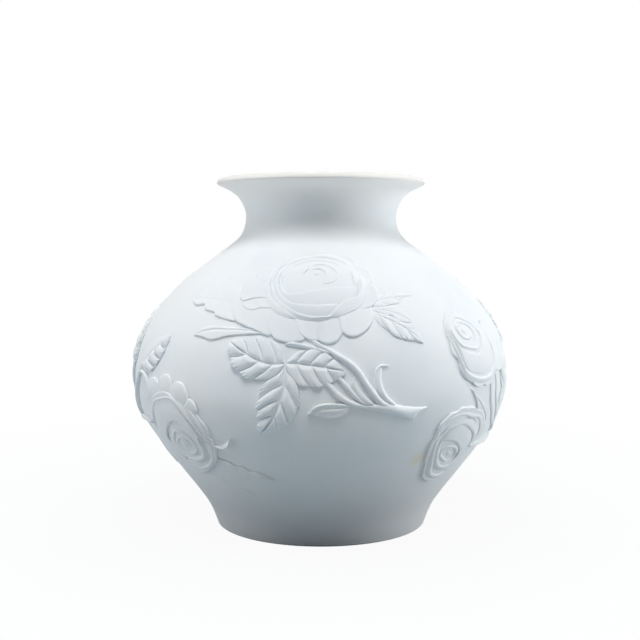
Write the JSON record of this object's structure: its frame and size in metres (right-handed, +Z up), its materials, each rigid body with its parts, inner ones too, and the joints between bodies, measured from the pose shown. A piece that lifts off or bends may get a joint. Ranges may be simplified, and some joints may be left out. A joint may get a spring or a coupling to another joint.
{
  "type": "flower vase",
  "caption": "Squat bisque porcelain flower vase: round belly on a foot ring, narrow neck, flared lip, glazed inside, with rose sprays in low relief.",
  "frame": {"origin": "centre of the foot ring's resting face", "axes": "+Z up along the vase's turning axis; -Y towards the spray that faces the picture, +X to its right"},
  "size_m": [0.1914, 0.191, 0.1738],
  "materials": {
    "bisque_body": "unglazed, smooth, matte white",
    "bisque_sprigs": "unglazed, smooth, matte white relief",
    "inner_glaze": "clear gloss glaze on white porcelain"
  },
  "bodies": {
    "root": {"back_leaflet_left": "bisque_sprigs", "back_leaflet_lower": "bisque_sprigs", "back_leaflet_right": "bisque_sprigs", "back_narrow_leaf": "bisque_sprigs", "back_rose": "bisque_sprigs", "back_rose_leaf_left": "bisque_sprigs", "back_rose_leaf_middle": "bisque_sprigs", "back_rose_leaf_right": "bisque_sprigs", "back_rose_leaf_upper": "bisque_sprigs", "back_rose_petals": "bisque_sprigs", "back_stem": "bisque_sprigs", "back_stem_leaf": "bisque_sprigs", "back_stipule": "bisque_sprigs", "front_leaflet_left": "bisque_sprigs", "front_leaflet_lower": "bisque_sprigs", "front_leaflet_right": "bisque_sprigs", "front_narrow_leaf": "bisque_sprigs", "front_rose": "bisque_sprigs", "front_rose_leaf_left": "bisque_sprigs", "front_rose_leaf_middle": "bisque_sprigs", "front_rose_leaf_right": "bisque_sprigs", "front_rose_leaf_upper": "bisque_sprigs", "front_rose_petals": "bisque_sprigs", "front_stem": "bisque_sprigs", "front_stem_leaf": "bisque_sprigs", "front_stipule": "bisque_sprigs", "inner_glaze": "inner_glaze", "left_bud_leaf": "bisque_sprigs", "left_far_rose": "bisque_sprigs", "left_far_rose_petals": "bisque_sprigs", "left_foot_leaf": "bisque_sprigs", "left_low_leaf": "bisque_sprigs", "left_lower_rose": "bisque_sprigs", "left_lower_rose_petals": "bisque_sprigs", "left_middle_leaf": "bisque_sprigs", "left_sepal": "bisque_sprigs", "left_stem": "bisque_sprigs", "left_tip_leaf": "bisque_sprigs", "left_upper_leaf": "bisque_sprigs", "left_upper_rose": "bisque_sprigs", "left_upper_rose_petals": "bisque_sprigs", "left_wall_leaf": "bisque_sprigs", "right_bud_leaf": "bisque_sprigs", "right_far_rose": "bisque_sprigs", "right_far_rose_petals": "bisque_sprigs", "right_foot_leaf": "bisque_sprigs", "right_low_leaf": "bisque_sprigs", "right_lower_rose": "bisque_sprigs", "right_lower_rose_petals": "bisque_sprigs", "right_middle_leaf": "bisque_sprigs", "right_sepal": "bisque_sprigs", "right_stem": "bisque_sprigs", "right_tip_leaf": "bisque_sprigs", "right_upper_leaf": "bisque_sprigs", "right_upper_rose": "bisque_sprigs", "right_upper_rose_petals": "bisque_sprigs", "right_wall_leaf": "bisque_sprigs", "vase_body": "bisque_body"}
  },
  "joints": []
}
